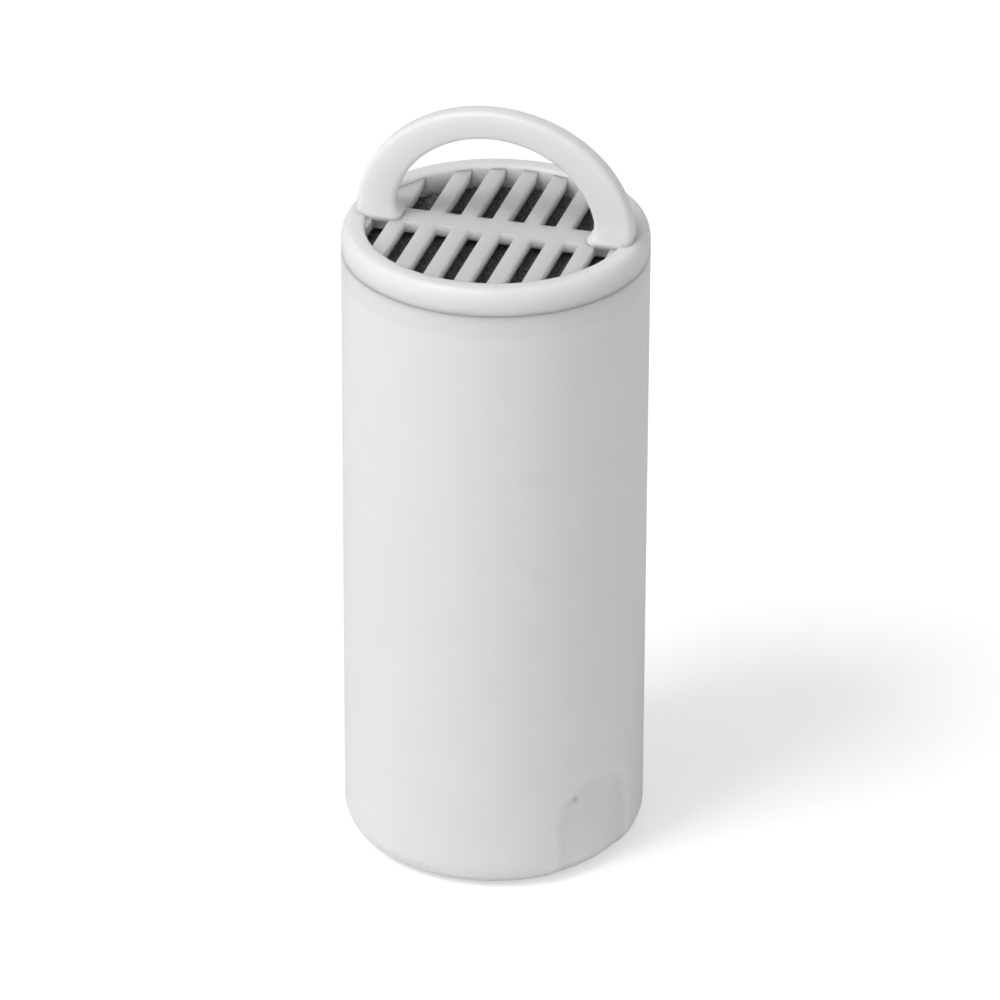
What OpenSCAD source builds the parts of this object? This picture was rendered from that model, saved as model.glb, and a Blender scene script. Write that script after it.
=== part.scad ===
// Drop-in filter cartridge for a pump-fed drinking water unit.
// The origin is the centre of the base, +Z is up, and X runs along the handle and the grille's spine.
// Water enters through the slotted cap, passes the foam and the carbon, and leaves through the floor.

/* [Housing] */
// Outside diameter of the cartridge
outer_d = 34; // [30:0.5:42]
// Height from the base to the top of the rim
rim_h = 75.4; // [55:0.5:110]
// Thickness of the housing's side wall
wall_t = 1.6; // [1.3:0.1:1.9]
// Thickness of the housing's floor
floor_t = 1.8; // [1.2:0.1:3]
// Radius of the rounded edge round the base
base_edge_r = 3.4; // [1:0.1:3.8]
// Width of the flat ring that the cartridge stands on
foot_ring_w = 1.5; // [1:0.1:3]
// Depth of the hollow under the floor
under_floor_h = 0.8; // [0.4:0.1:2]

/* [Side recess] */
// Direction that the recess faces, in degrees from +X
recess_turn = -30; // [-80:1:-20]
// Width of the recess across the wall
recess_w = 10.5; // [4:0.5:12]
// Height of the recess's top above the base
recess_h = 12.1; // [8:0.1:20]
// Radius of the recess's two top corners
recess_corner_r = 2; // [0.5:0.1:2]
// Depth of the recess into the wall
recess_depth = 0.5; // [0.2:0.1:0.8]

/* [Cap] */
// Height of the cap that shows above the housing
cap_h = 3; // [2.6:0.1:6]
// Radius of the rounded shoulder round the cap's top
shoulder_r = 1.4; // [0.8:0.1:1.6]
// Width of the rim round the cap's opening
rim_w = 2.6; // [2.4:0.1:6]
// Length of the skirt that plugs into the housing
skirt_l = 5; // [3:0.5:10]
// Length of the slope at the end of the skirt
skirt_lead = 0.6; // [0.2:0.1:1]
// Radial gap between the skirt and the housing's bore
skirt_gap = 0.05; // [0.02:0.01:0.1]

/* [Grille] */
// Distance from one slot to the next
slot_pitch = 3.6; // [2.8:0.1:5]
// Width of a slot
slot_w = 1.9; // [1.2:0.05:2.2]
// Extra width of the two end slots in the back row
end_slot_extra = 0.8; // [0:0.1:1]
// Width of the spine between the two rows of slots
spine_w = 3.3; // [2:0.1:6]
// Thickness of the grille
grille_t = 1.3; // [0.8:0.1:2]
// Depth of the grille's face below the rim
grille_drop = 0.4; // [0:0.1:0.8]

/* [Handle] */
// Height of the arch above the rim
arch_h = 13.7; // [9:0.1:25]
// Distance from the cap's side to the outside of the handle's foot
foot_inset = 1.3; // [0.5:0.1:2]
// Width of the arch's band at its feet
foot_band = 4.2; // [2.5:0.1:5]
// Width of the arch's band at its crown
crown_band = 3.3; // [2:0.1:4]
// Thickness of the handle from front to back
handle_t = 2.3; // [1.6:0.1:4]

/* [Filter media] */
// Depth of the foam's face below the rim
foam_drop = 2.4; // [2.1:0.1:4]
// Thickness of each felt pad
felt_t = 1.2; // [0.8:0.1:3]
// Thickness of the outlet screen
screen_t = 0.4; // [0.2:0.1:1]
// Radial gap between the media and the wall round it
media_gap = 0.2; // [0.1:0.05:0.5]

/* [Outlet] */
// Width of a slot in the floor
outlet_slot_w = 1.6; // [1:0.1:2]
// Width of the floor's rib between its two rows of slots
outlet_rib_w = 3; // [2:0.1:6]
// Width of solid floor between the slots and the foot ring
outlet_border = 1; // [0.5:0.1:3]

/* [Hidden] */
$fn = 128;
ARC_STEPS = 36;
OVER = 1;
outer_r = outer_d / 2;
bore_r = outer_r - wall_t;
mouth_r = outer_r - rim_w;
skirt_r = bore_r - skirt_gap;
seam_z = rim_h - cap_h;
skirt_z = seam_z - skirt_l;
floor_top_z = under_floor_h + floor_t;
under_floor_r = outer_r - base_edge_r - foot_ring_w;
grille_z = rim_h - grille_drop - grille_t;
front_slots = floor(2 * (mouth_r - slot_w / 2) / slot_pitch) + 1;
back_slots = front_slots - 2;
outlet_r = under_floor_r - outlet_border;
outlet_slots = floor(2 * (outlet_r - outlet_slot_w / 2) / slot_pitch) + 1;
arch_half_w = outer_r - foot_inset;
lower_felt_z = floor_top_z + screen_t;
carbon_z = lower_felt_z + felt_t;
upper_felt_z = skirt_z - felt_t;
media_r = bore_r - media_gap;
MILKY = [0.90, 0.90, 0.89];
MILKY_SHADE = [0.80, 0.80, 0.80];
CHARCOAL = [0.16, 0.16, 0.16];
CARBON = [0.09, 0.09, 0.09];
FELT = [0.93, 0.93, 0.91];

// A row of slots along X, on one side of the X axis, that starts half a rib away from it.
module slot_row(count, width, rib, reach, height, end_extra = 0) {
    for (i = [0 : count - 1]) {
        x = (i - (count - 1) / 2) * slot_pitch;
        left = x - width / 2 - (i == 0 ? end_extra : 0);
        right = x + width / 2 + (i == count - 1 ? end_extra : 0);
        translate([left, rib / 2, 0]) cube([right - left, reach, height]);
    }
}

// A solid of revolution's outline: a block with a rounded corner at its outer top or outer bottom.
module rounded_block(radius, height, corner_r, at_top) {
    corner_z = at_top ? height - corner_r : corner_r;
    square([radius - corner_r, height]);
    translate([0, at_top ? 0 : corner_r]) square([radius, height - corner_r]);
    intersection() {
        translate([radius - corner_r, corner_z]) circle(r = corner_r);
        square([radius, height]);
    }
}

// The pocket with round top corners, open at the base, that is pressed into the wall.
module side_recess() {
    reach = outer_r + OVER;
    corner_y = recess_w / 2 - recess_corner_r;
    corner_z = recess_h - recess_corner_r;
    rotate([0, 0, recess_turn]) difference() {
        union() {
            translate([0, -recess_w / 2, -OVER]) cube([reach, recess_w, corner_z + OVER]);
            translate([0, -corner_y, 0]) cube([reach, 2 * corner_y, recess_h]);
            for (side = [-1, 1]) translate([0, side * corner_y, corner_z])
                rotate([0, 90, 0]) cylinder(r = recess_corner_r, h = reach);
        }
        translate([0, 0, -2 * OVER]) cylinder(r = outer_r - recess_depth, h = recess_h + 4 * OVER);
    }
}

// The outlet: two mirrored rows of slots through the floor, inside one circle.
module outlet_openings() {
    intersection() {
        cylinder(r = outlet_r, h = floor_top_z + OVER);
        for (side = [0, 1]) mirror([0, side, 0])
            slot_row(outlet_slots, outlet_slot_w, outlet_rib_w, outlet_r, floor_top_z + OVER);
    }
}

module housing() {
    color(MILKY) difference() {
        rotate_extrude() rounded_block(outer_r, seam_z, base_edge_r, false);
        translate([0, 0, floor_top_z]) cylinder(r = bore_r, h = seam_z);
        translate([0, 0, -OVER]) cylinder(r = under_floor_r, h = under_floor_h + OVER);
        outlet_openings();
        side_recess();
    }
}

module media_disc(z, top_z, radius) {
    translate([0, 0, z]) cylinder(r = radius, h = top_z - z);
}

module outlet_screen() {
    color(FELT) media_disc(floor_top_z, lower_felt_z, media_r);
}

module lower_felt() {
    color(FELT) media_disc(lower_felt_z, carbon_z, media_r);
}

module carbon_bed() {
    color(CARBON) media_disc(carbon_z, upper_felt_z, media_r);
}

module upper_felt() {
    color(FELT) media_disc(upper_felt_z, skirt_z, media_r);
}

module inlet_foam() {
    color(CHARCOAL) media_disc(skirt_z, rim_h - foam_drop, mouth_r - media_gap);
}

// The cap's outer body without its mouth: the flange that shows and the skirt below it.
module cap_blank() {
    translate([0, 0, seam_z]) rotate_extrude() rounded_block(outer_r, cap_h, shoulder_r, true);
    translate([0, 0, skirt_z + skirt_lead]) cylinder(r = skirt_r, h = skirt_l - skirt_lead);
    translate([0, 0, skirt_z]) cylinder(r1 = skirt_r - skirt_lead / 2, r2 = skirt_r, h = skirt_lead);
}

module cap_rim() {
    color(MILKY) difference() {
        cap_blank();
        translate([0, 0, skirt_z - OVER]) cylinder(r = mouth_r, h = rim_h);
    }
}

module inlet_grille() {
    color(MILKY_SHADE) translate([0, 0, grille_z]) difference() {
        cylinder(r = mouth_r, h = grille_t);
        translate([0, 0, -OVER]) {
            slot_row(back_slots, slot_w, spine_w, mouth_r, grille_t + 2 * OVER, end_slot_extra);
            mirror([0, 1, 0]) slot_row(front_slots, slot_w, spine_w, mouth_r, grille_t + 2 * OVER);
        }
    }
}

// Half of an ellipse that stands on two straight feet, from the right foot over to the left one.
function arch_line(half_w, rise, foot_drop) =
    concat([[half_w, -foot_drop]],
           [for (i = [0 : ARC_STEPS]) [half_w * cos(180 * i / ARC_STEPS), rise * sin(180 * i / ARC_STEPS)]],
           [[-half_w, -foot_drop]]);

function reversed(points) = [for (i = [len(points) - 1 : -1 : 0]) points[i]];

// The upright arch. Its feet reach down past the rounded shoulder and to the grille's face.
module arch_outline() {
    foot_drop = max(shoulder_r, grille_drop);
    polygon(concat(arch_line(arch_half_w, arch_h, foot_drop),
                   reversed(arch_line(arch_half_w - foot_band, arch_h - crown_band, foot_drop))));
}

module carry_handle() {
    color(MILKY) difference() {
        translate([0, 0, rim_h]) rotate([90, 0, 0])
            linear_extrude(height = handle_t, center = true) arch_outline();
        difference() {
            cap_blank();
            translate([0, 0, grille_z + grille_t]) cylinder(r = mouth_r, h = cap_h);
        }
    }
}

housing();
outlet_screen();
lower_felt();
carbon_bed();
upper_felt();
inlet_foam();
cap_rim();
inlet_grille();
carry_handle();
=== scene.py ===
"""Looks of a drop-in filter cartridge: milky plastic, a slotted cap with an arch handle, dark media."""

import logging
import math
from dataclasses import dataclass, field
from enum import Enum
from typing import Callable, Optional, Sequence, Union

import bmesh
import bpy
import numpy as np
from mathutils import Matrix, Vector


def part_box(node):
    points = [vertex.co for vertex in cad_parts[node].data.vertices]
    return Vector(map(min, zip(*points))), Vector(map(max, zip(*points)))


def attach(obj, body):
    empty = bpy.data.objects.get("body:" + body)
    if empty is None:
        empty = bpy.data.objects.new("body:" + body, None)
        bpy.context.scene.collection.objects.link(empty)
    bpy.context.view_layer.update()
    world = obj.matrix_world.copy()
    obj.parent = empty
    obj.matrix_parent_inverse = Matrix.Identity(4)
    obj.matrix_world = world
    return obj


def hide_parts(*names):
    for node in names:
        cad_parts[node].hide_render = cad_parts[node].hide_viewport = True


MM = 0.001
SEED = 7
LOG = logging.getLogger("cartridge")

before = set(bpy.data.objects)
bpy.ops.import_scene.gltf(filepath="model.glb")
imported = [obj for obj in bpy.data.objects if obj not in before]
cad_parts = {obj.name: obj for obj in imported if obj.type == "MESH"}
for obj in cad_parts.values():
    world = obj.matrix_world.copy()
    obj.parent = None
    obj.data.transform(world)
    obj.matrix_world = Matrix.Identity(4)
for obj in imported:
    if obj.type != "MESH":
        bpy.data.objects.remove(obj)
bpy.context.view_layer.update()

Point = tuple[float, float]


class Body(str, Enum):
    """The two bodies that the pieces ride on."""

    HOUSING = "housing"
    CAP = "cap"


class Slot(str, Enum):
    """The record's material slots."""

    PLASTIC = "milky_plastic"
    SCREEN = "screen_mesh"
    FELT = "white_felt"
    CARBON = "black_carbon"
    FOAM = "charcoal_foam"


class Num:
    """A value in a node tree: Python operators on it add Math nodes to the tree."""

    def __init__(self, tree: bpy.types.NodeTree, socket: bpy.types.NodeSocket) -> None:
        """Wraps one output socket of a tree."""
        self.tree = tree
        self.socket = socket

    def math(self, operation: str, *others: Union["Num", float], first: Optional[float] = None) -> "Num":
        """Adds one Math node.

        Args:
            operation: the Math node's operation.
            others: the values after this one.
            first: a plain number that goes before this value, for the reflected operators.

        Returns:
            The node's result.
        """
        node = self.tree.nodes.new("ShaderNodeMath")
        node.operation = operation
        values = (self, *others) if first is None else (first, self)
        for socket, value in zip(node.inputs, values):
            if isinstance(value, Num):
                self.tree.links.new(value.socket, socket)
            else:
                socket.default_value = value
        return Num(self.tree, node.outputs[0])

    def __add__(self, other: Union["Num", float]) -> "Num":
        """self + other."""
        return self.math("ADD", other)

    def __radd__(self, other: float) -> "Num":
        """other + self."""
        return self.math("ADD", first=other)

    def __sub__(self, other: Union["Num", float]) -> "Num":
        """self - other."""
        return self.math("SUBTRACT", other)

    def __rsub__(self, other: float) -> "Num":
        """other - self."""
        return self.math("SUBTRACT", first=other)

    def __mul__(self, other: Union["Num", float]) -> "Num":
        """self * other."""
        return self.math("MULTIPLY", other)

    def clamped(self) -> "Num":
        """The value held between 0 and 1."""
        return self.math("MAXIMUM", 0.0).math("MINIMUM", 1.0)


class Shader:
    """A material under construction, with one method that adds any node."""

    def __init__(self, name: str) -> None:
        """Starts an empty node material."""
        self.material = bpy.data.materials.new(name)
        self.material.use_nodes = True
        self.tree = self.material.node_tree
        self.tree.nodes.clear()

    def node(self, kind: str, settings: Optional[dict] = None, **inputs: object) -> bpy.types.Node:
        """Adds a node.

        Args:
            kind: the node's type, without its ShaderNode prefix.
            settings: attributes of the node, set before its sockets. "stops" sets a ramp's stops.
            inputs: socket values or links, by the socket's name with _ for a space.

        Returns:
            The new node.
        """
        made = self.tree.nodes.new("ShaderNode" + kind)
        for key, value in (settings or {}).items():
            if key == "stops":
                self._set_stops(made.color_ramp, value)
            else:
                setattr(made, key, value)
        for key, value in inputs.items():
            socket = made.inputs[key.replace("_", " ")]
            if isinstance(value, Num):
                self.tree.links.new(value.socket, socket)
            elif isinstance(value, bpy.types.NodeSocket):
                self.tree.links.new(value, socket)
            else:
                socket.default_value = value
        return made

    @staticmethod
    def _set_stops(ramp: bpy.types.ColorRamp, stops: Sequence[tuple[float, tuple]]) -> None:
        """Writes a colour ramp's stops."""
        while len(ramp.elements) < len(stops):
            ramp.elements.new(0.5)
        for element, (place, colour) in zip(ramp.elements, stops):
            element.position = place
            element.color = (*colour, 1.0)

    def num(self, socket: bpy.types.NodeSocket) -> Num:
        """Wraps a socket for shader maths."""
        return Num(self.tree, socket)

    def place(self) -> bpy.types.NodeSocket:
        """The object coordinates, in metres."""
        return self.node("TexCoord").outputs["Object"]

    def noise(self, scale_mm: float, detail: float = 3.0, roughness: float = 0.55) -> Num:
        """Noise whose features are about scale_mm across."""
        made = self.node("TexNoise", Vector=self.place(), Scale=1.0 / (scale_mm * MM), Detail=detail,
                         Roughness=roughness)
        return self.num(made.outputs[0])

    def blend(self, factor: Num, low: tuple, high: tuple) -> bpy.types.NodeSocket:
        """A colour between two, by a factor from 0 to 1."""
        made = self.node("ValToRGB", {"stops": [(0.0, low), (1.0, high)]}, Fac=factor)
        return made.outputs["Color"]

    def bump(self, height: Num, depth_mm: float, strength: float = 1.0) -> bpy.types.NodeSocket:
        """A normal bumped by a height from 0 to 1 that stands for depth_mm."""
        made = self.node("Bump", Height=height, Distance=depth_mm * MM, Strength=strength)
        return made.outputs["Normal"]

    def finish(self, shader: bpy.types.Node) -> bpy.types.Material:
        """Links the last shader to the output."""
        output = self.node("OutputMaterial")
        self.tree.links.new(shader.outputs[0], output.inputs["Surface"])
        return self.material


@dataclass(frozen=True)
class MilkyPlastic:
    """Satin natural polypropylene: cloudy, slightly see-through, with faint flow marks and a fine grain.

    A soft band of painted shade darkens the wall just below the seam.
    """

    name: str = "milky_plastic"
    pale: tuple = (0.87, 0.87, 0.87)
    deep: tuple = (0.82, 0.82, 0.82)
    rough: float = 0.42
    rough_spread: float = 0.1
    inner_glow: float = 0.8
    glow_radius_mm: float = 3.0
    refraction: float = 1.49
    cloud_mm: float = 9.0
    cloud_level: float = 0.6
    cloud_contrast: float = 1.2
    grain_mm: float = 0.35
    grain_share: float = 0.5
    ripple_share: float = 1.6
    grain_depth_mm: float = 0.006
    # Painted shade: the height, half-height and strength of a darker band in the base colour below the seam.
    painted_shade_z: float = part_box("housing")[1].z - 1.2 * MM
    painted_shade_mm: float = 1.9
    painted_shade_strength: float = 1.4

    def build(self) -> bpy.types.Material:
        """Returns the material."""
        shader = Shader(self.name)
        clouds = shader.noise(self.cloud_mm, 4.0)
        grain = shader.noise(self.grain_mm, 2.0)
        ripple = shader.noise(self.cloud_mm / 3)
        height = shader.num(shader.node("SeparateXYZ", Vector=shader.place()).outputs["Z"])
        # Painted shade: the base colour darkens in a band round the wall just below the seam.
        off_painted_shade = (height - self.painted_shade_z).math("ABSOLUTE")
        painted_shade_band = (1 - off_painted_shade * (1 / (self.painted_shade_mm * MM))).clamped()
        cloudy = (clouds - 0.5) * self.cloud_contrast + self.cloud_level
        # The random cloudy tone, darkened by the painted shade band.
        mottle_and_painted_shade = (cloudy - painted_shade_band * self.painted_shade_strength).clamped()
        relief = grain * self.grain_share + ripple * self.ripple_share
        surface = shader.node(
            "BsdfPrincipled",
            Base_Color=shader.blend(mottle_and_painted_shade, self.deep, self.pale),
            Roughness=self.rough + (grain - 0.5) * self.rough_spread,
            Normal=shader.bump(relief, self.grain_depth_mm),
            Subsurface_Weight=self.inner_glow,
            Subsurface_Radius=(1.0, 1.0, 1.0),
            Subsurface_Scale=self.glow_radius_mm * MM,
            IOR=self.refraction,
        )
        return shader.finish(surface)


@dataclass(frozen=True)
class DarkGrain:
    """Rough, dark, finely speckled media, used for the foam and the carbon."""

    name: str
    dark: tuple
    light: tuple
    rough: float
    speck_mm: float
    depth_mm: float
    fine_share: float = 0.6
    speck_cut: float = 0.42
    speck_contrast: float = 3.0
    cell_lift: float = 0.25
    rough_spread: float = 0.1

    def build(self) -> bpy.types.Material:
        """Returns the material."""
        shader = Shader(self.name)
        cells = shader.node("TexVoronoi", Vector=shader.place(), Scale=1.0 / (self.speck_mm * MM))
        cell = shader.num(cells.outputs["Distance"])
        fine = shader.noise(self.speck_mm * self.fine_share, 4.0, 0.7)
        speck = ((fine - self.speck_cut) * self.speck_contrast * (cell + self.cell_lift)).clamped()
        surface = shader.node(
            "BsdfPrincipled",
            Base_Color=shader.blend(speck, self.dark, self.light),
            Roughness=self.rough + fine * self.rough_spread,
            Normal=shader.bump(cell + fine, self.depth_mm),
        )
        return shader.finish(surface)


@dataclass(frozen=True)
class FeltFinish:
    """Pale needled felt: matted fibres that run every way, with a soft sheen."""

    name: str = "white_felt"
    shade: tuple = (0.66, 0.66, 0.64)
    pale: tuple = (0.80, 0.80, 0.78)
    clump_mm: float = 2.0
    fibre_mm: float = 3.0
    fibre_share: float = 0.6
    distortion: float = 14.0
    depth_mm: float = 0.15
    rough: float = 0.85
    rough_spread: float = 0.1
    sheen: float = 0.3

    def build(self) -> bpy.types.Material:
        """Returns the material."""
        shader = Shader(self.name)
        noise = shader.node("TexNoise", Vector=shader.place(), Scale=1.0 / (self.clump_mm * MM))
        fibres = shader.node("TexWave", {"wave_type": "BANDS"}, Vector=shader.place(),
                             Scale=1.0 / (self.fibre_mm * MM), Distortion=self.distortion, Detail=3.0)
        clumps = shader.num(noise.outputs[0])
        strand = shader.num(fibres.outputs["Fac"])
        mat = (strand * self.fibre_share + clumps * (1 - self.fibre_share)).clamped()
        surface = shader.node(
            "BsdfPrincipled",
            Base_Color=shader.blend(mat, self.shade, self.pale),
            Roughness=self.rough + strand * self.rough_spread,
            Normal=shader.bump(mat, self.depth_mm),
            Sheen_Weight=self.sheen,
        )
        return shader.finish(surface)


@dataclass(frozen=True)
class ScreenFinish:
    """Fine nylon wires with a slight variation from wire to wire."""

    name: str = "screen_mesh"
    shade: tuple = (0.70, 0.70, 0.68)
    pale: tuple = (0.82, 0.82, 0.80)
    streak_mm: float = 1.2
    depth_mm: float = 0.01
    rough: float = 0.35
    rough_spread: float = 0.15

    def build(self) -> bpy.types.Material:
        """Returns the material."""
        shader = Shader(self.name)
        streak = shader.noise(self.streak_mm, 3.0)
        surface = shader.node(
            "BsdfPrincipled",
            Base_Color=shader.blend(streak, self.shade, self.pale),
            Roughness=self.rough + streak * self.rough_spread,
            Normal=shader.bump(streak, self.depth_mm),
        )
        return shader.finish(surface)


@dataclass(frozen=True)
class StudioFloor:
    """A pale diffuse floor that the camera sees as white and that keeps the object's shadow."""

    name: str = "studio_floor"
    colour: float = 0.80
    lift: float = 0.42

    def build(self) -> bpy.types.Material:
        """Returns the material."""
        shader = Shader(self.name)
        paint = shader.node("BsdfDiffuse", Color=(self.colour, self.colour, self.colour, 1.0))
        seen = shader.num(shader.node("LightPath").outputs["Is Camera Ray"])
        glow = shader.node("Emission", Strength=seen * self.lift)
        both = shader.node("AddShader")
        shader.tree.links.new(paint.outputs[0], both.inputs[0])
        shader.tree.links.new(glow.outputs[0], both.inputs[1])
        return shader.finish(both)


FINISHES: dict[Slot, object] = {
    Slot.PLASTIC: MilkyPlastic(),
    Slot.SCREEN: ScreenFinish(),
    Slot.FELT: FeltFinish(),
    Slot.CARBON: DarkGrain("black_carbon", (0.006, 0.006, 0.007), (0.05, 0.05, 0.053), 0.5, 0.7, 0.2),
    Slot.FOAM: DarkGrain("charcoal_foam", (0.075, 0.075, 0.076), (0.28, 0.28, 0.283), 0.8, 0.4, 0.2),
}

# The cap is a separate moulding; its plastic is a darker copy, painted shade that keeps its upward-facing rim
# and handle darker than the wall.
CAP_PLASTIC_PAINTED_SHADE = MilkyPlastic("milky_plastic_cap_painted_shade", (0.81, 0.81, 0.81), (0.77, 0.77, 0.77))
# A darker copy of the plastic for the thin grille: painted shade for the dark media showing through it, with
# a stronger inner glow.
THIN_PLASTIC_PAINTED_SHADE = MilkyPlastic("milky_plastic_thin_painted_shade", (0.78, 0.78, 0.78), (0.73, 0.73, 0.73), inner_glow=1.0,
                            glow_radius_mm=5.0)


class Workshop:
    """Keeps the built materials, and turns meshes into finished pieces of the object."""

    def __init__(self) -> None:
        """Builds every finish once."""
        self.materials = {slot: finish.build() for slot, finish in FINISHES.items()}
        # The grille's darker copy of the plastic, painted shade for the media behind it.
        self.thin_plastic_painted_shade = THIN_PLASTIC_PAINTED_SHADE.build()
        # The cap's darker copy of the plastic, painted shade for its upward-facing surfaces.
        self.cap_plastic_painted_shade = CAP_PLASTIC_PAINTED_SHADE.build()

    def piece(self, name: str, mesh: bpy.types.Mesh, body: Body, slot: Slot,
              replaces: Sequence[str] = (), material: Optional[bpy.types.Material] = None,
              ) -> bpy.types.Object:
        """Makes a mesh a piece of the object.

        Args:
            name: the piece's name.
            mesh: its mesh, already in its place.
            body: the body that it rides on.
            slot: the material slot that it takes its finish from.
            replaces: the CAD nodes that it stands for.
            material: its material, if it isn't the slot's usual one.

        Returns:
            The piece's object, at the origin.
        """
        made = bpy.data.objects.new(name, mesh)
        bpy.context.scene.collection.objects.link(made)
        mesh.materials.clear()
        mesh.materials.append(material or self.materials[slot])
        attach(made, body.value)
        if replaces:
            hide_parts(*replaces)
        LOG.info("%s: %d faces on %s", name, len(mesh.polygons), body.value)
        return made


def arc(centre: Point, radius: float, start: float, end: float, steps: int = 8) -> list[Point]:
    """Points along an arc.

    Args:
        centre: the arc's centre, as (distance from the axis, height).
        radius: its radius.
        start: its first angle in degrees, from the outward direction.
        end: its last angle in degrees.
        steps: how many straight steps it takes.

    Returns:
        The points, both ends included.
    """
    turns = (math.radians(start + (end - start) * i / steps) for i in range(steps + 1))
    return [(centre[0] + radius * math.cos(a), centre[1] + radius * math.sin(a)) for a in turns]


def divided(start: Point, end: Point, step: float) -> list[Point]:
    """Points strictly between two ends of a straight line, about a step apart."""
    count = max(1, round(math.dist(start, end) / step))
    return [(start[0] + (end[0] - start[0]) * i / count, start[1] + (end[1] - start[1]) * i / count)
            for i in range(1, count)]


def lathe(name: str, outline: Sequence[Point], segments: int = 256,
          shift: Optional[Callable[[np.ndarray], np.ndarray]] = None) -> bpy.types.Mesh:
    """Turns a closed outline about the Z axis.

    Args:
        name: the mesh's name.
        outline: (distance from the axis, height) points. It closes on itself, or on the axis.
        segments: how many steps go round.
        shift: an optional change to the vertices, an array of (x, y, z) rows.

    Returns:
        A closed mesh with smooth faces that point outwards.
    """
    turns = np.linspace(0, 2 * np.pi, segments, endpoint=False)
    ring = np.array(outline)
    points = np.stack([ring[:, None, 0] * np.cos(turns), ring[:, None, 0] * np.sin(turns),
                       np.broadcast_to(ring[:, None, 1], (len(ring), segments))], axis=2).reshape(-1, 3)
    if shift is not None:
        points = shift(points)
    rows = len(ring)
    bands = rows - 1 if outline[0][0] == 0 and outline[-1][0] == 0 else rows
    faces = [(i * segments + j, i * segments + (j + 1) % segments,
              ((i + 1) % rows) * segments + (j + 1) % segments, ((i + 1) % rows) * segments + j)
             for i in range(bands) for j in range(segments)]
    return solid(name, points.tolist(), faces)


def solid(name: str, points: Sequence, faces: Sequence) -> bpy.types.Mesh:
    """Makes a closed smooth mesh whose doubles are merged and whose normals point outwards."""
    work = bmesh.new()
    corners = [work.verts.new(p) for p in points]
    for face in faces:
        work.faces.new([corners[i] for i in face])
    bmesh.ops.remove_doubles(work, verts=work.verts, dist=1e-7)
    bmesh.ops.dissolve_degenerate(work, edges=work.edges, dist=1e-8)
    bmesh.ops.recalc_face_normals(work, faces=work.faces)
    mesh = bpy.data.meshes.new(name)
    work.to_mesh(mesh)
    work.free()
    mesh.shade_smooth()
    return mesh


class Recipe:
    """A Geometry Nodes tree under construction, with named size inputs."""

    def __init__(self, name: str) -> None:
        """Starts an empty tree that has a geometry input and output."""
        self.tree = bpy.data.node_groups.new(name, "GeometryNodeTree")
        self.tree.interface.new_socket("Geometry", in_out="INPUT", socket_type="NodeSocketGeometry")
        self.tree.interface.new_socket("Geometry", in_out="OUTPUT", socket_type="NodeSocketGeometry")
        self.source = self.tree.nodes.new("NodeGroupInput")
        self.values: dict[str, float] = {}

    def size(self, name: str, value: float, whole: bool = False) -> Num:
        """Adds a named input.

        Args:
            name: the input's name.
            value: what this tree's use sets it to.
            whole: True for a count.

        Returns:
            The input, for the tree's maths.
        """
        kind = "NodeSocketInt" if whole else "NodeSocketFloat"
        made = self.tree.interface.new_socket(name, in_out="INPUT", socket_type=kind)
        self.values[made.identifier] = int(value) if whole else float(value)
        return Num(self.tree, self.source.outputs[name])

    def node(self, kind: str, settings: Optional[dict] = None, **inputs: object) -> bpy.types.Node:
        """Adds a node.

        Args:
            kind: the node's full type.
            settings: attributes of the node, set before its sockets.
            inputs: socket values or links, by the socket's name with _ for a space. A list fills a
                socket that takes several links.

        Returns:
            The new node.
        """
        made = self.tree.nodes.new(kind)
        for key, value in (settings or {}).items():
            setattr(made, key, value)
        for key, value in inputs.items():
            socket = next(s for s in made.inputs if s.enabled and s.name == key.replace("_", " "))
            for one in value if isinstance(value, list) else [value]:
                if isinstance(one, Num):
                    self.tree.links.new(one.socket, socket)
                elif isinstance(one, bpy.types.NodeSocket):
                    self.tree.links.new(one, socket)
                else:
                    socket.default_value = one
        return made

    def vector(self, x: object = 0.0, y: object = 0.0, z: object = 0.0) -> bpy.types.NodeSocket:
        """A vector from three values."""
        return self.node("ShaderNodeCombineXYZ", X=x, Y=y, Z=z).outputs[0]

    def moved(self, geometry: bpy.types.NodeSocket, **inputs: object) -> bpy.types.NodeSocket:
        """Moves, turns or scales a geometry."""
        return self.node("GeometryNodeTransform", Geometry=geometry, **inputs).outputs[0]

    def mesh(self, geometry: bpy.types.NodeSocket, material: bpy.types.Material,
             start: Optional[bpy.types.Mesh] = None) -> bpy.types.Mesh:
        """Runs the tree once and keeps the result as a plain mesh.

        Args:
            geometry: the geometry that the tree makes.
            material: the material that it gets.
            start: the mesh that the tree works from, if it needs one.

        Returns:
            The finished mesh.
        """
        real = self.node("GeometryNodeRealizeInstances", Geometry=geometry).outputs[0]
        painted = self.node("GeometryNodeSetMaterial", Geometry=real, Material=material).outputs[0]
        output = self.tree.nodes.new("NodeGroupOutput")
        self.tree.links.new(painted, output.inputs[0])
        name = self.tree.name
        holder = bpy.data.objects.new(name + "_maker", start or bpy.data.meshes.new(name + "_start"))
        bpy.context.scene.collection.objects.link(holder)
        modifier = holder.modifiers.new(name, "NODES")
        modifier.node_group = self.tree
        for identifier, value in self.values.items():
            modifier[identifier] = value
        graph = bpy.context.evaluated_depsgraph_get()
        result = bpy.data.meshes.new_from_object(holder.evaluated_get(graph))
        holder.modifiers.remove(modifier)
        bpy.data.objects.remove(holder)
        result.name = name
        return result


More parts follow.
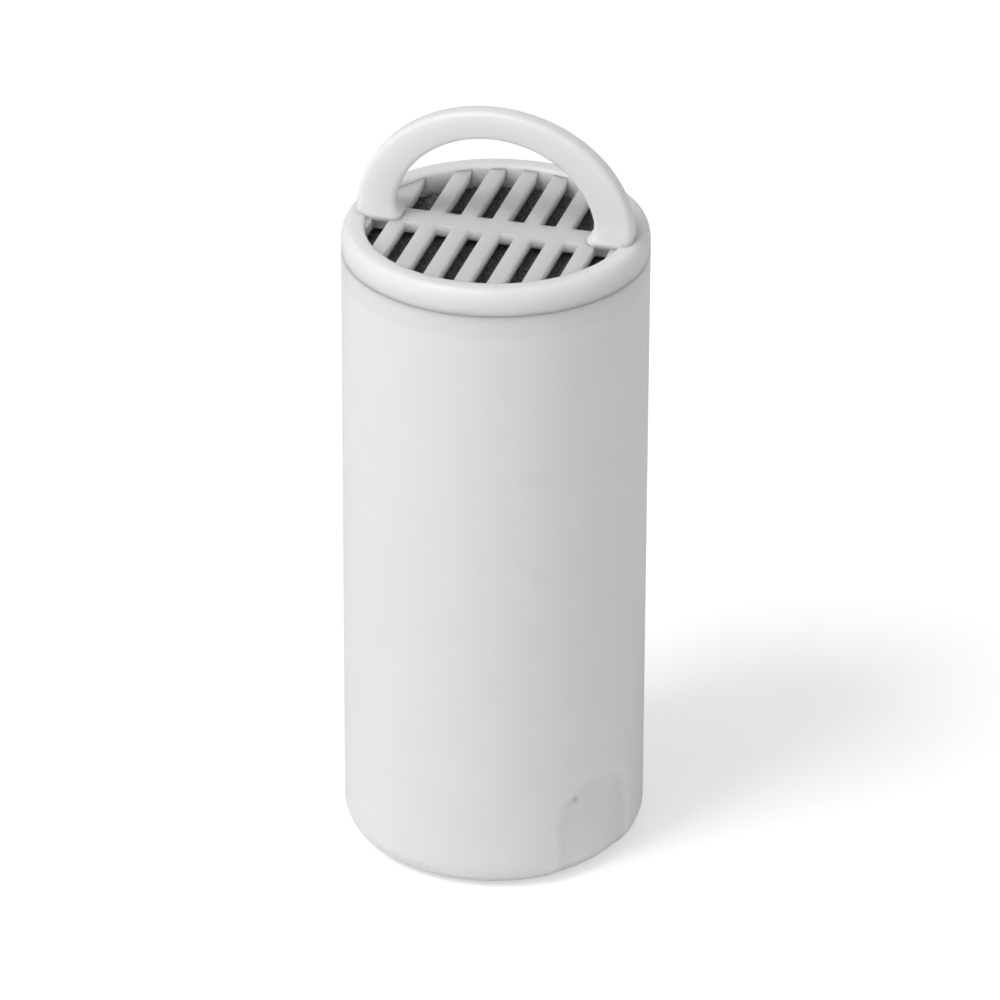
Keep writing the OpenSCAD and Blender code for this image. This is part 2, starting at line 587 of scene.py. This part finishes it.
@dataclass
class SlottedPlate:
    """A round plate with two rows of slots on either side of a spine: the grille, and the floor.

    The slots run from the spine out to the reach, which is a radius.
    """

    name: str
    radius: float
    bottom: float
    top: float
    reach: float
    pitch: float
    slot_w: float
    spine_w: float
    front_count: int
    back_count: int
    end_extra: float = 0.0
    corner: float = 0.25 * MM
    corner_steps: int = 5
    overshoot: float = 1.2
    merge: float = 0.03 * MM
    segments: int = 192

    def _row(self, recipe: Recipe, count: int, side: int, pitch: Num, width: Num, spine: Num,
             reach: Num) -> bpy.types.NodeSocket:
        """Builds the solid cutters of one row, side +1 for the back row and -1 for the front one."""
        thick = self.top - self.bottom
        length = reach * self.overshoot
        across = (spine * 0.5 + length * 0.5) * side
        below = self.bottom - thick
        outline = recipe.node("GeometryNodeCurvePrimitiveQuadrilateral", Width=width, Height=length)
        soft = recipe.node("GeometryNodeFilletCurve", {"mode": "POLY"}, Curve=outline.outputs[0],
                           Count=self.corner_steps, Radius=self.corner)
        flat = recipe.node("GeometryNodeFillCurve", Curve=soft.outputs[0])
        tall = recipe.node("GeometryNodeExtrudeMesh", Mesh=flat.outputs[0], Offset=(0, 0, 1),
                           Offset_Scale=thick * 3, Individual=False)
        flipped = recipe.node("GeometryNodeFlipFaces", Mesh=flat.outputs[0])
        closed = recipe.node("GeometryNodeJoinGeometry", Geometry=[tall.outputs[0], flipped.outputs[0]])
        merged = recipe.node("GeometryNodeMergeByDistance", Geometry=closed.outputs[0], Distance=1e-6)
        start = recipe.vector(pitch * (-(count - 1) / 2), across, below)
        line = recipe.node("GeometryNodeMeshLine", Count=count, Start_Location=start,
                           Offset=recipe.vector(pitch))
        places = recipe.node("GeometryNodeMeshToPoints", Mesh=line.outputs[0])
        stamped = recipe.node("GeometryNodeInstanceOnPoints", Points=places.outputs[0],
                              Instance=merged.outputs[0])
        row = recipe.node("GeometryNodeRealizeInstances", Geometry=stamped.outputs[0]).outputs[0]
        if side < 0 or not self.end_extra:
            return row
        parts = [row]
        for end in (-1, 1):
            outwards = pitch * (end * (count - 1) / 2) + end * self.end_extra
            spot = recipe.vector(outwards, across, below)
            parts.append(recipe.moved(merged.outputs[0], Translation=spot))
        return recipe.node("GeometryNodeJoinGeometry", Geometry=parts).outputs[0]

    def build(self, material: bpy.types.Material) -> bpy.types.Mesh:
        """Returns the plate's mesh, cut by both rows inside the reach."""
        recipe = Recipe(self.name)
        radius = recipe.size("Plate radius", self.radius)
        reach = recipe.size("Reach of the slots", self.reach)
        pitch = recipe.size("Slot pitch", self.pitch)
        width = recipe.size("Slot width", self.slot_w)
        spine = recipe.size("Spine width", self.spine_w)
        thick = self.top - self.bottom
        middle = recipe.vector(z=(self.top + self.bottom) / 2)
        blank = recipe.node("GeometryNodeMeshCylinder", Vertices=self.segments, Radius=radius, Depth=thick)
        plate = recipe.moved(blank.outputs[0], Translation=middle)
        rows = [self._row(recipe, self.front_count, -1, pitch, width, spine, reach),
                self._row(recipe, self.back_count, 1, pitch, width, spine, reach)]
        limit = recipe.node("GeometryNodeMeshCylinder", Vertices=self.segments, Radius=reach,
                            Depth=thick * 2.5)
        inside = recipe.moved(limit.outputs[0], Translation=middle)
        both = recipe.node("GeometryNodeJoinGeometry", Geometry=rows).outputs[0]
        cutter = recipe.node("GeometryNodeMeshBoolean", {"operation": "INTERSECT", "solver": "EXACT"})
        cutter.inputs["Self Intersection"].default_value = True
        recipe.tree.links.new(inside, cutter.inputs["Mesh 2"])
        recipe.tree.links.new(both, cutter.inputs["Mesh 2"])
        cut = recipe.node("GeometryNodeMeshBoolean", {"operation": "DIFFERENCE", "solver": "EXACT"})
        cut.inputs["Self Intersection"].default_value = True
        recipe.tree.links.new(plate, cut.inputs["Mesh 1"])
        recipe.tree.links.new(cutter.outputs[0], cut.inputs["Mesh 2"])
        sound = recipe.node("GeometryNodeMergeByDistance", Geometry=cut.outputs[0], Distance=self.merge)
        return recipe.mesh(sound.outputs[0], material)


def softened(piece: bpy.types.Object, width: float, weld_gap: float = 0.0, degrees: float = 40.0,
             segments: int = 3) -> None:
    """Rounds a piece's sharp edges with a bevel, and smooths what is nearly flat.

    Args:
        piece: the piece.
        width: the bevel's width.
        weld_gap: corners closer than this are merged afterwards, where the bevel leaves slivers.
        degrees: edges sharper than this are rounded.
        segments: how many steps the bevel takes.
    """
    piece.data.shade_smooth()
    bevel = piece.modifiers.new("soft_edges", "BEVEL")
    bevel.width = width
    bevel.segments = segments
    bevel.limit_method = "ANGLE"
    bevel.angle_limit = math.radians(degrees)
    bevel.harden_normals = True
    if weld_gap:
        weld = piece.modifiers.new("weld", "WELD")
        weld.merge_threshold = weld_gap


def smooth_step(value: np.ndarray) -> np.ndarray:
    """A soft step from 0 to 1 as the value goes from 0 to 1."""
    held = np.clip(value, 0, 1)
    return held * held * (3 - 2 * held)


@dataclass
class Housing:
    """The moulded tube with its rounded base, pressed recess, foot ring and slotted floor."""

    shop: Workshop
    outer_r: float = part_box("housing")[1].x
    seam_z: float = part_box("housing")[1].z
    wall: float = 1.6 * MM
    floor_t: float = 1.8 * MM
    base_edge: float = 3.4 * MM
    foot_ring: float = 1.5 * MM
    under_floor: float = 0.8 * MM
    top_edge: float = 0.006 * MM
    recess_turn: float = -30.0
    recess_w: float = 10.5 * MM
    recess_h: float = 12.1 * MM
    recess_corner: float = 4.2 * MM
    recess_depth: float = 0.42 * MM
    recess_slope: float = 1.7 * MM
    gate_up: float = 10.2 * MM
    gate_side: float = -3.2 * MM
    gate_r: float = 0.4 * MM
    gate_depth: float = 0.4 * MM
    gate_spread: float = 1.4
    bore_fillet: float = 0.5 * MM
    floor_lap: float = 0.3 * MM
    hollow_edge: float = 0.15 * MM
    ring_edge: float = 0.2 * MM
    seam_hold: float = 0.3 * MM
    recess_step: float = 0.22 * MM
    wall_step: float = 2.5 * MM
    bore_step: float = 4.0 * MM
    segments: int = 512
    outlet_border: float = 1.0 * MM
    outlet_pitch: float = 3.6 * MM
    outlet_slot: float = 1.6 * MM
    outlet_rib: float = 3.0 * MM
    outlet_bevel: float = 0.12 * MM
    outlet_weld: float = 0.03 * MM

    @property
    def under_r(self) -> float:
        """The radius of the hollow under the floor, inside the foot ring."""
        return self.outer_r - self.base_edge - self.foot_ring

    def _outline(self) -> list[Point]:
        """The wall's closed outline: down the bore, over the foot ring, round the base and up the side.

        Its points are close together where the recess is pressed in, and two rows just under the seam
        hold the smooth shading off the edge.
        """
        floor_z = self.under_floor + self.floor_t
        bore, edge, fillet, ring = self.outer_r - self.wall, self.top_edge, self.bore_fillet, self.ring_edge
        inner_r = self.under_r - self.floor_lap
        base = arc((self.outer_r - self.base_edge, self.base_edge), self.base_edge, -90, 0, 14)
        fine_top = (self.outer_r, self.recess_h + self.recess_slope * 2)
        held = (self.outer_r, self.seam_z - self.seam_hold)
        side = [*divided(base[-1], fine_top, self.recess_step), fine_top,
                *divided(fine_top, held, self.wall_step), held,
                (self.outer_r, self.seam_z - self.seam_hold / 3)]
        top = [*arc((self.outer_r - edge, self.seam_z - edge), edge, 0, 90, 3),
               *arc((bore + edge, self.seam_z - edge), edge, 90, 180, 3)]
        inside = [*divided(top[-1], (bore, floor_z), self.bore_step),
                  *arc((bore - fillet, floor_z + fillet), fillet, 0, -90, 4),
                  (inner_r, floor_z), (inner_r, self.under_floor),
                  (self.under_r - self.hollow_edge, self.under_floor),
                  (self.under_r, self.under_floor - self.hollow_edge),
                  *arc((self.under_r + ring, ring), ring, 180, 270, 4)]
        return [*inside, *base, *side, *top]

    def _press(self, points: np.ndarray) -> np.ndarray:
        """Presses the recess and its gate mark into the outer wall."""
        flat_r = np.hypot(points[:, 0], points[:, 1])
        turn = np.degrees(np.arctan2(points[:, 1], points[:, 0])) - self.recess_turn
        turn = (turn + 180) % 360 - 180
        across = np.radians(turn) * self.outer_r
        half = self.recess_w / 2 - self.recess_corner
        over_x = np.maximum(np.abs(across) - half, 0)
        over_z = np.maximum(points[:, 2] - (self.recess_h - self.recess_corner), 0)
        away = np.hypot(over_x, over_z) - self.recess_corner
        depth = self.recess_depth * smooth_step(0.5 - away / self.recess_slope)
        gate = np.hypot(across - self.gate_side, points[:, 2] - self.gate_up)
        depth += self.gate_depth * smooth_step(self.gate_spread - gate / self.gate_r)
        outer = flat_r > self.outer_r - self.wall * 0.5
        outer |= (points[:, 2] < self.base_edge) & (flat_r > self.outer_r - self.base_edge)
        lean = np.clip((flat_r - (self.outer_r - self.base_edge)) / self.base_edge, 0, 1)
        scale = np.where(outer, 1 - depth * lean / np.maximum(flat_r, 1e-9), 1)
        points[:, :2] *= scale[:, None]
        return points

    def build(self) -> None:
        """Builds the wall and the slotted floor."""
        wall = lathe("housing_wall", self._outline(), self.segments, self._press)
        self.shop.piece("housing_wall", wall, Body.HOUSING, Slot.PLASTIC, ["housing"])
        reach = self.under_r - self.outlet_border
        count = math.floor(2 * (reach - self.outlet_slot / 2) / self.outlet_pitch) + 1
        plate = SlottedPlate("housing_floor", self.under_r, self.under_floor,
                             self.under_floor + self.floor_t, reach, self.outlet_pitch, self.outlet_slot,
                             self.outlet_rib, count, count)
        mesh = plate.build(self.shop.materials[Slot.PLASTIC])
        floor = self.shop.piece("housing_floor", mesh, Body.HOUSING, Slot.PLASTIC)
        softened(floor, self.outlet_bevel, weld_gap=self.outlet_weld)


@dataclass
class Cap:
    """The plug-in cap: its flanged rim, the slotted grille in the mouth and the arch handle."""

    shop: Workshop
    outer_r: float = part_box("cap_rim")[1].x
    rim_z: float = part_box("cap_rim")[1].z
    skirt_z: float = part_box("cap_rim")[0].z
    seam_z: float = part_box("housing")[1].z
    mouth_r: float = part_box("inlet_grille")[1].x
    grille_bottom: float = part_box("inlet_grille")[0].z
    grille_top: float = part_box("inlet_grille")[1].z
    arch_half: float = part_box("carry_handle")[1].x
    arch_top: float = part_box("carry_handle")[1].z
    arch_thick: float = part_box("carry_handle")[1].y * 2
    skirt_r: float = 15.35 * MM
    skirt_lead: float = 0.6 * MM
    seam_hold: float = 0.3 * MM
    seam_corner: float = 0.006 * MM
    shoulder_w: float = 1.0 * MM
    shoulder_h: float = 1.7 * MM
    lip: float = 0.5 * MM
    slot_pitch: float = 3.6 * MM
    slot_w: float = 1.9 * MM
    end_slot_extra: float = 0.8 * MM
    front_slots: int = 8
    back_slots: int = 6
    spine_w: float = 3.3 * MM
    slot_overrun: float = 1.0 * MM
    grille_lap: float = 0.3 * MM
    grille_bevel: float = 0.2 * MM
    foot_band: float = 4.2 * MM
    crown_band: float = 3.3 * MM
    arch_corner: float = 0.55 * MM
    foot_fillet: float = 3.0 * MM
    foot_root: float = 0.4 * MM
    foot_spread: float = 1.8 * MM
    foot_swell: float = 1.5 * MM
    foot_corner: float = 0.6
    foot_lap: float = 0.35 * MM
    stations: int = 140

    def _shoulder(self) -> list[Point]:
        """A quarter of an ellipse, taller than it is wide, from the side up to the rim."""
        quarter = arc((0.0, 0.0), 1.0, 0, 90, 14)
        return [(self.outer_r - self.shoulder_w * (1 - x), self.rim_z - self.shoulder_h * (1 - z))
                for x, z in quarter]

    def _rim(self) -> bpy.types.Mesh:
        """The flange and the skirt, with a soft shoulder outside and a soft lip inside."""
        lead, hold, corner = self.skirt_lead, self.seam_hold, self.seam_corner
        outline = [
            (self.mouth_r, self.skirt_z), (self.skirt_r - lead / 2, self.skirt_z),
            (self.skirt_r, self.skirt_z + lead), (self.skirt_r, self.seam_z),
            *arc((self.outer_r - corner, self.seam_z + corner), corner, -90, 0, 4),
            (self.outer_r, self.seam_z + hold / 3), (self.outer_r, self.seam_z + hold),
            *self._shoulder(),
            *arc((self.mouth_r + self.lip, self.rim_z - self.lip), self.lip, 90, 180, 6),
        ]
        return lathe("cap_rim_shell", outline, 256)

    def _grille(self) -> bpy.types.Mesh:
        """The slotted plate in the mouth, whose slats run into the rim's wall."""
        plate = SlottedPlate("grille_plate", self.mouth_r + self.grille_lap, self.grille_bottom,
                             self.grille_top, self.mouth_r + self.slot_overrun, self.slot_pitch,
                             self.slot_w, self.spine_w, self.front_slots, self.back_slots,
                             self.end_slot_extra)
        # The grille takes the darker copy of the plastic, painted shade.
        return plate.build(self.shop.thin_plastic_painted_shade)

    def _section(self) -> list[Point]:
        """Directions round the handle's four soft corners, a quarter of them for each corner."""
        turns = [side + 15 * step for side in (0, 90, 180, 270) for step in range(7)]
        return [(math.cos(math.radians(t)), math.sin(math.radians(t))) for t in turns]

    def _arch(self) -> bpy.types.Mesh:
        """The handle, swept along half of an ellipse with a soft-cornered section that flares at its feet."""
        stations = self.stations
        section = self._section()
        around = len(section)
        rise = self.arch_top - self.rim_z
        sink = self.rim_z - self.grille_top + self.foot_lap
        points: list[tuple] = []
        for i in range(stations + 1):
            turn = math.pi * (0.5 - 0.5 * math.cos(math.pi * i / stations))
            outer = Vector((self.arch_half * math.cos(turn), rise * math.sin(turn)))
            inner = Vector(((self.arch_half - self.foot_band) * math.cos(turn),
                            (rise - self.crown_band) * math.sin(turn)))
            height = (outer.y + inner.y) / 2
            if i in (0, stations):
                outer.y = inner.y = -sink
                height = 0.0
            low = max(0.0, 1 - (height + self.foot_root) / self.foot_fillet)
            flare = 1 - math.sqrt(max(0.0, 1 - low * low))
            inner.x -= math.copysign(flare * self.foot_spread, inner.x)
            middle, reach = (outer + inner) / 2, (outer - inner) / 2
            half_thick = self.arch_thick / 2 + flare * self.foot_swell
            corner = self.arch_corner + flare * self.foot_swell * self.foot_corner
            along = reach.normalized()
            for j, (c, n) in enumerate(section):
                quarter = j * 4 // around
                side_u = 1 if quarter in (0, 3) else -1
                side_v = 1 if quarter in (0, 1) else -1
                u = side_u * (reach.length - corner) + corner * c
                v = side_v * (half_thick - corner) + corner * n
                spot = middle + along * u
                points.append((spot.x, v, self.rim_z + spot.y))
        faces = [(i * around + j, i * around + (j + 1) % around, (i + 1) * around + (j + 1) % around,
                  (i + 1) * around + j) for i in range(stations) for j in range(around)]
        faces.append(tuple(range(around)))
        faces.append(tuple(stations * around + j for j in range(around)))
        return solid("handle_arch", points, faces)

    def build(self) -> None:
        """Builds the cap's three pieces."""
        # The rim and the handle take the darker copy of the plastic, painted shade.
        self.shop.piece("cap_rim_shell", self._rim(), Body.CAP, Slot.PLASTIC, ["cap_rim"],
                        self.shop.cap_plastic_painted_shade)
        grille = self.shop.piece("grille_plate", self._grille(), Body.CAP, Slot.PLASTIC, ["inlet_grille"],
                                 self.shop.thin_plastic_painted_shade)
        softened(grille, self.grille_bevel)
        self.shop.piece("handle_arch", self._arch(), Body.CAP, Slot.PLASTIC, ["carry_handle"],
                        self.shop.cap_plastic_painted_shade)


@dataclass(frozen=True)
class PadSurface:
    """The surface of a round pad: its soft edge, its uneven depth and the grains that may lie in it."""

    corner: float
    rough: float
    step: float
    grain_gap: float = 0.0
    grain_r: float = 0.0


@dataclass
class Media:
    """What the cartridge is filled with: the foam, two felts, the carbon and the outlet screen."""

    shop: Workshop
    felt: PadSurface = PadSurface(0.3 * MM, 0.08 * MM, 0.5 * MM)
    carbon: PadSurface = PadSurface(0.4 * MM, 0.3 * MM, 1.0 * MM, 1.1 * MM, 0.5 * MM)
    foam: PadSurface = PadSurface(0.4 * MM, 0.35 * MM, 0.4 * MM, 0.55 * MM, 0.24 * MM)
    grain_sizes: tuple[float, float] = (0.5, 1.1)
    segments: int = 160
    wire_pitch: float = 1.1 * MM
    wire_share: float = 0.95
    wire_sides: int = 6
    wire_steps: int = 8
    rng: np.random.Generator = field(default_factory=lambda: np.random.default_rng(SEED))

    def _pad(self, name: str, node: str, surface: PadSurface) -> bpy.types.Mesh:
        """A round pad in a CAD node's place, with soft edges and an uneven surface that stays inside it."""
        low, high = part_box(node)
        radius, corner, step = high.x, surface.corner, surface.step
        corners = [*arc((radius - corner, low.z + corner), corner, -90, 0, 4),
                   *divided((radius, low.z + corner), (radius, high.z - corner), step),
                   *arc((radius - corner, high.z - corner), corner, 0, 90, 4)]
        across = divided((radius - corner, high.z), (0.0, high.z), step)
        under = divided((0.0, low.z), (radius - corner, low.z), step * 2)
        outline = [(0.0, low.z), *under, *corners, *across, (0.0, high.z)]
        centre = np.array([0.0, 0.0, (low.z + high.z) / 2])

        def uneven(points: np.ndarray) -> np.ndarray:
            """Draws each point in by a random depth."""
            away = points - centre
            reach = np.linalg.norm(away, axis=1, keepdims=True)
            depth = surface.rough * self.rng.random((len(points), 1))
            depth[np.hypot(points[:, 0], points[:, 1]) < 1e-9] = surface.rough / 2
            return points - away / np.maximum(reach, 1e-9) * depth

        return lathe(name, outline, self.segments, uneven)

    def _grains(self, name: str, pad: bpy.types.Mesh, slot: Slot, surface: PadSurface) -> bpy.types.Mesh:
        """A pad with small angular grains bedded in its surface."""
        recipe = Recipe(name)
        density = recipe.size("Grains per square metre", 1 / surface.grain_gap ** 2)
        across = recipe.size("Grain radius", surface.grain_r)
        skin = recipe.source.outputs["Geometry"]
        spots = recipe.node("GeometryNodeDistributePointsOnFaces", Mesh=skin, Density=density, Seed=SEED)
        shape = recipe.node("GeometryNodeMeshIcoSphere", Radius=across, Subdivisions=1)
        turn = recipe.node("FunctionNodeRandomValue", {"data_type": "FLOAT_VECTOR"}, Seed=SEED)
        turn.inputs[1].default_value = (math.tau,) * 3
        size = recipe.node("FunctionNodeRandomValue", {"data_type": "FLOAT_VECTOR"}, Seed=SEED + 1)
        for end, limit in zip(size.inputs, self.grain_sizes):
            end.default_value = (limit,) * 3
        grains = recipe.node("GeometryNodeInstanceOnPoints", Points=spots.outputs[0],
                             Instance=shape.outputs[0], Rotation=turn.outputs[0], Scale=size.outputs[0])
        both = recipe.node("GeometryNodeJoinGeometry", Geometry=[skin, grains.outputs[0]])
        return recipe.mesh(both.outputs[0], self.shop.materials[slot], pad)

    def _screen(self) -> bpy.types.Mesh:
        """The outlet screen: wires woven over and under each other, cut to a round."""
        low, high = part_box("outlet_screen")
        radius, wire = high.x, (high.z - low.z) / 4
        middle = (low.z + high.z) / 2
        recipe = Recipe("woven_screen")
        thick = recipe.size("Wire radius", wire * self.wire_share)
        wires: list[bpy.types.NodeSocket] = []
        half = int((radius - wire) / self.wire_pitch)
        for turned in (False, True):
            for i in range(-half, half + 1):
                off = i * self.wire_pitch
                reach = math.sqrt(max((radius - wire) ** 2 - off * off, 1e-9))
                wires.append(self._wire(recipe, i, turned, reach, middle, wire))
        joined = recipe.node("GeometryNodeJoinGeometry", Geometry=wires)
        section = recipe.node("GeometryNodeCurvePrimitiveCircle", Radius=thick, Resolution=self.wire_sides)
        tubes = recipe.node("GeometryNodeCurveToMesh", Curve=joined.outputs[0],
                            Profile_Curve=section.outputs[0])
        tubes.inputs["Fill Caps"].default_value = True
        return recipe.mesh(tubes.outputs[0], self.shop.materials[Slot.SCREEN])

    def _wire(self, recipe: Recipe, index: int, turned: bool, reach: float, middle: float,
              swing: float) -> bpy.types.NodeSocket:
        """One wire's curve, which waves up and down once in every two pitches.

        Args:
            recipe: the screen's tree.
            index: the wire's place in its row, counted from the middle one.
            turned: True for a wire that runs along Y, False for one along X.
            reach: half of its length.
            middle: the screen's middle height.
            swing: how far it waves from the middle.

        Returns:
            The curve.
        """
        off, pitch = index * self.wire_pitch, self.wire_pitch
        ends = [(off, -reach), (off, reach)] if turned else [(-reach, off), (reach, off)]
        line = recipe.node("GeometryNodeCurvePrimitiveLine", Start=(*ends[0], middle), End=(*ends[1], middle))
        steps = max(self.wire_steps, int(reach / pitch * self.wire_steps))
        fine = recipe.node("GeometryNodeResampleCurve", Curve=line.outputs[0], Count=steps)
        place = recipe.node("GeometryNodeInputPosition").outputs[0]
        spot = recipe.node("ShaderNodeSeparateXYZ", Vector=place)
        along = Num(recipe.tree, spot.outputs["Y" if turned else "X"])
        phase = math.pi * ((index + turned) % 2)
        wave = (along * (math.pi / pitch) + phase).math("COSINE") * swing
        moved = recipe.node("GeometryNodeSetPosition", Geometry=fine.outputs[0], Offset=recipe.vector(z=wave))
        return moved.outputs[0]

    def build(self) -> None:
        """Builds the five pieces of the filling, from the floor up."""
        self.shop.piece("woven_screen", self._screen(), Body.HOUSING, Slot.SCREEN, ["outlet_screen"])
        for name, node in (("felt_lower", "lower_felt"), ("felt_upper", "upper_felt")):
            felt = self._pad(name, node, self.felt)
            self.shop.piece(name, felt, Body.HOUSING, Slot.FELT, [node])
        bed = self._pad("carbon_core", "carbon_bed", self.carbon)
        grains = self._grains("carbon_grains", bed, Slot.CARBON, self.carbon)
        self.shop.piece("carbon_grains", grains, Body.HOUSING, Slot.CARBON, ["carbon_bed"])
        foam = self._pad("foam_core", "inlet_foam", self.foam)
        crumbs = self._grains("foam_block", foam, Slot.FOAM, self.foam)
        self.shop.piece("foam_block", crumbs, Body.HOUSING, Slot.FOAM, ["inlet_foam"])


def direction(azimuth: float, elevation: float) -> Vector:
    """The unit vector that points to an azimuth and an elevation in degrees, 0 and 0 being the front."""
    a, e = math.radians(azimuth), math.radians(elevation)
    return Vector((math.sin(a) * math.cos(e), -math.cos(a) * math.cos(e), math.sin(e)))


@dataclass(frozen=True)
class Lamp:
    """A square soft light.

    It stands off to a side in degrees from the camera's direction, positive to the camera's right, at
    an elevation in degrees and a distance in metres. Its size is its width in metres.
    """

    name: str
    side: float
    rise: float
    away: float
    size: float
    watts: float


@dataclass
class Studio:
    """The camera, the pale floor and the soft lights."""

    azimuth: float = 15.5
    elevation: float = 28.4
    distance: float = 0.85
    lens: float = 273.8
    roll: float = 0.24
    look_at: Vector = field(default_factory=lambda: Vector((0.00055, 0.00015, 0.04086)))
    world_level: float = 0.40
    floor_half: float = 3.0
    lamps: tuple[Lamp, ...] = (
        Lamp("key", side=-54.0, rise=57.0, away=1.2, size=0.42, watts=6.7),
        Lamp("left_fill", side=-58.0, rise=18.0, away=1.2, size=1.8, watts=6.4),
        Lamp("right_fill", side=62.0, rise=14.0, away=1.2, size=0.9, watts=1.3),
    )

    def _camera(self) -> None:
        """Places the camera."""
        back = direction(self.azimuth, self.elevation)
        data = bpy.data.cameras.new("camera")
        data.lens = self.lens
        data.sensor_width = 36.0
        data.clip_start, data.clip_end = 0.01, 20.0
        camera = bpy.data.objects.new("camera", data)
        bpy.context.scene.collection.objects.link(camera)
        turn = (-back).to_track_quat("-Z", "Y").to_matrix().to_4x4() @ Matrix.Rotation(
            math.radians(self.roll), 4, "Z")
        camera.matrix_world = Matrix.Translation(self.look_at + back * self.distance) @ turn
        bpy.context.scene.camera = camera

    def _floor(self) -> None:
        """Lays the floor."""
        half = self.floor_half
        mesh = bpy.data.meshes.new("floor")
        mesh.from_pydata([(-half, -half, 0), (half, -half, 0), (half, half, 0), (-half, half, 0)], [],
                         [(0, 1, 2, 3)])
        mesh.materials.append(StudioFloor().build())
        floor = bpy.data.objects.new("floor", mesh)
        bpy.context.scene.collection.objects.link(floor)

    def _lamp(self, lamp: Lamp) -> None:
        """Places a light that faces the object."""
        back = direction(self.azimuth + lamp.side, lamp.rise)
        data = bpy.data.lights.new(lamp.name, "AREA")
        data.size = lamp.size
        data.energy = lamp.watts
        made = bpy.data.objects.new(lamp.name, data)
        bpy.context.scene.collection.objects.link(made)
        made.location = self.look_at + back * lamp.away
        made.rotation_mode = "QUATERNION"
        made.rotation_quaternion = (-back).to_track_quat("-Z", "Y")

    def _world(self) -> None:
        """Sets the even light from all round, which the camera sees as white."""
        level = self.world_level
        world = bpy.data.worlds.new("world")
        world.use_nodes = True
        tree = world.node_tree
        seen = Num(tree, tree.nodes.new("ShaderNodeLightPath").outputs["Is Camera Ray"])
        strength = seen * (1 - level) + level
        tree.nodes["Background"].inputs["Color"].default_value = (1, 1, 1, 1)
        tree.links.new(strength.socket, tree.nodes["Background"].inputs["Strength"])
        bpy.context.scene.world = world

    def build(self) -> None:
        """Builds the studio."""
        self._camera()
        self._floor()
        self._world()
        for lamp in self.lamps:
            self._lamp(lamp)
        bpy.context.scene.view_settings.view_transform = "Standard"


def main() -> None:
    """Builds the cartridge and its studio."""
    logging.basicConfig(level=logging.INFO, format="%(name)s: %(message)s")
    Studio().build()
    shop = Workshop()
    Housing(shop).build()
    Cap(shop).build()
    Media(shop).build()


if __name__ == "__main__":
    main()
